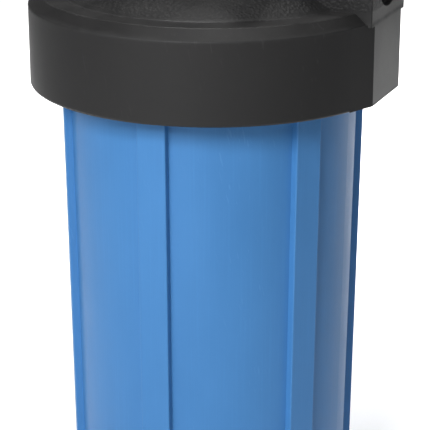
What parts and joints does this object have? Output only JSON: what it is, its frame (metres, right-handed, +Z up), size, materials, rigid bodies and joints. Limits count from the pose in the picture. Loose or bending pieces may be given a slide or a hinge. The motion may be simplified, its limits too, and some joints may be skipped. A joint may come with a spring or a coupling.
{
  "type": "cartridge filter housing",
  "caption": "Water filter housing: black screw-on head with side ports and a relief button, ribbed blue sump, and a pleated cartridge inside.",
  "frame": {"origin": "on the sump's axis, at the flat foot of the sump", "axes": "+Z up along the sump's axis, +X out of the outlet port, -X out of the inlet port"},
  "size_m": [0.1794, 0.181, 0.333],
  "materials": {
    "head_black": "satin moulded, pebbled on the dome",
    "sump_blue": "satin moulded",
    "seal_rubber": "smooth moulded rubber",
    "core_white": "moulded polypropylene",
    "mesh_white": "extruded netting",
    "media_white": "pleated non-woven polyester",
    "seam_white": "extruded channel",
    "end_cap_grey": "cast plastisol",
    "relief_black": "turned-looking moulded plastic",
    "button_red": "glossy moulded",
    "steel": "stainless"
  },
  "bodies": {
    "head": {"head": "head_black", "relief_body": "relief_black", "relief_body_gasket": "seal_rubber"},
    "cartridge": {"cartridge_core_tube": "core_white", "cartridge_inner_mesh": "mesh_white", "cartridge_pleated_media": "media_white", "cartridge_seam_clip": "seam_white", "cartridge_outer_netting": "mesh_white", "cartridge_top_end_cap": "end_cap_grey", "cartridge_bottom_end_cap": "end_cap_grey", "cartridge_top_gasket": "seal_rubber", "cartridge_bottom_gasket": "seal_rubber"},
    "sump": {"sump": "sump_blue", "sump_o_ring": "seal_rubber"},
    "relief_button": {"relief_button": "button_red", "relief_stem": "steel", "relief_clip": "steel", "relief_washer": "steel", "relief_o_ring": "seal_rubber", "relief_spring": "steel"}
  },
  "joints": [
    {"name": "sump_travel", "type": "slide", "parent": "head", "child": "cartridge", "axis": [0, 0, -1], "range_m": [0, 0.024]},
    {"name": "sump_turn", "type": "hinge", "parent": "cartridge", "child": "sump", "pos_m": [0, 0, 0.133], "axis": [0, 0, -1], "range_deg": [0, 1080]},
    {"name": "relief_press", "type": "slide", "parent": "head", "child": "relief_button", "axis": [0, 0, -1], "range_m": [0, 0.0025], "stiffness_N_per_m": 600, "springref_m": -0.003, "deforming": ["relief_spring"]}
  ],
  "couplings": [
    {"joint": "sump_travel", "follows": "sump_turn", "m_per_rad": 0.0012732}
  ]
}
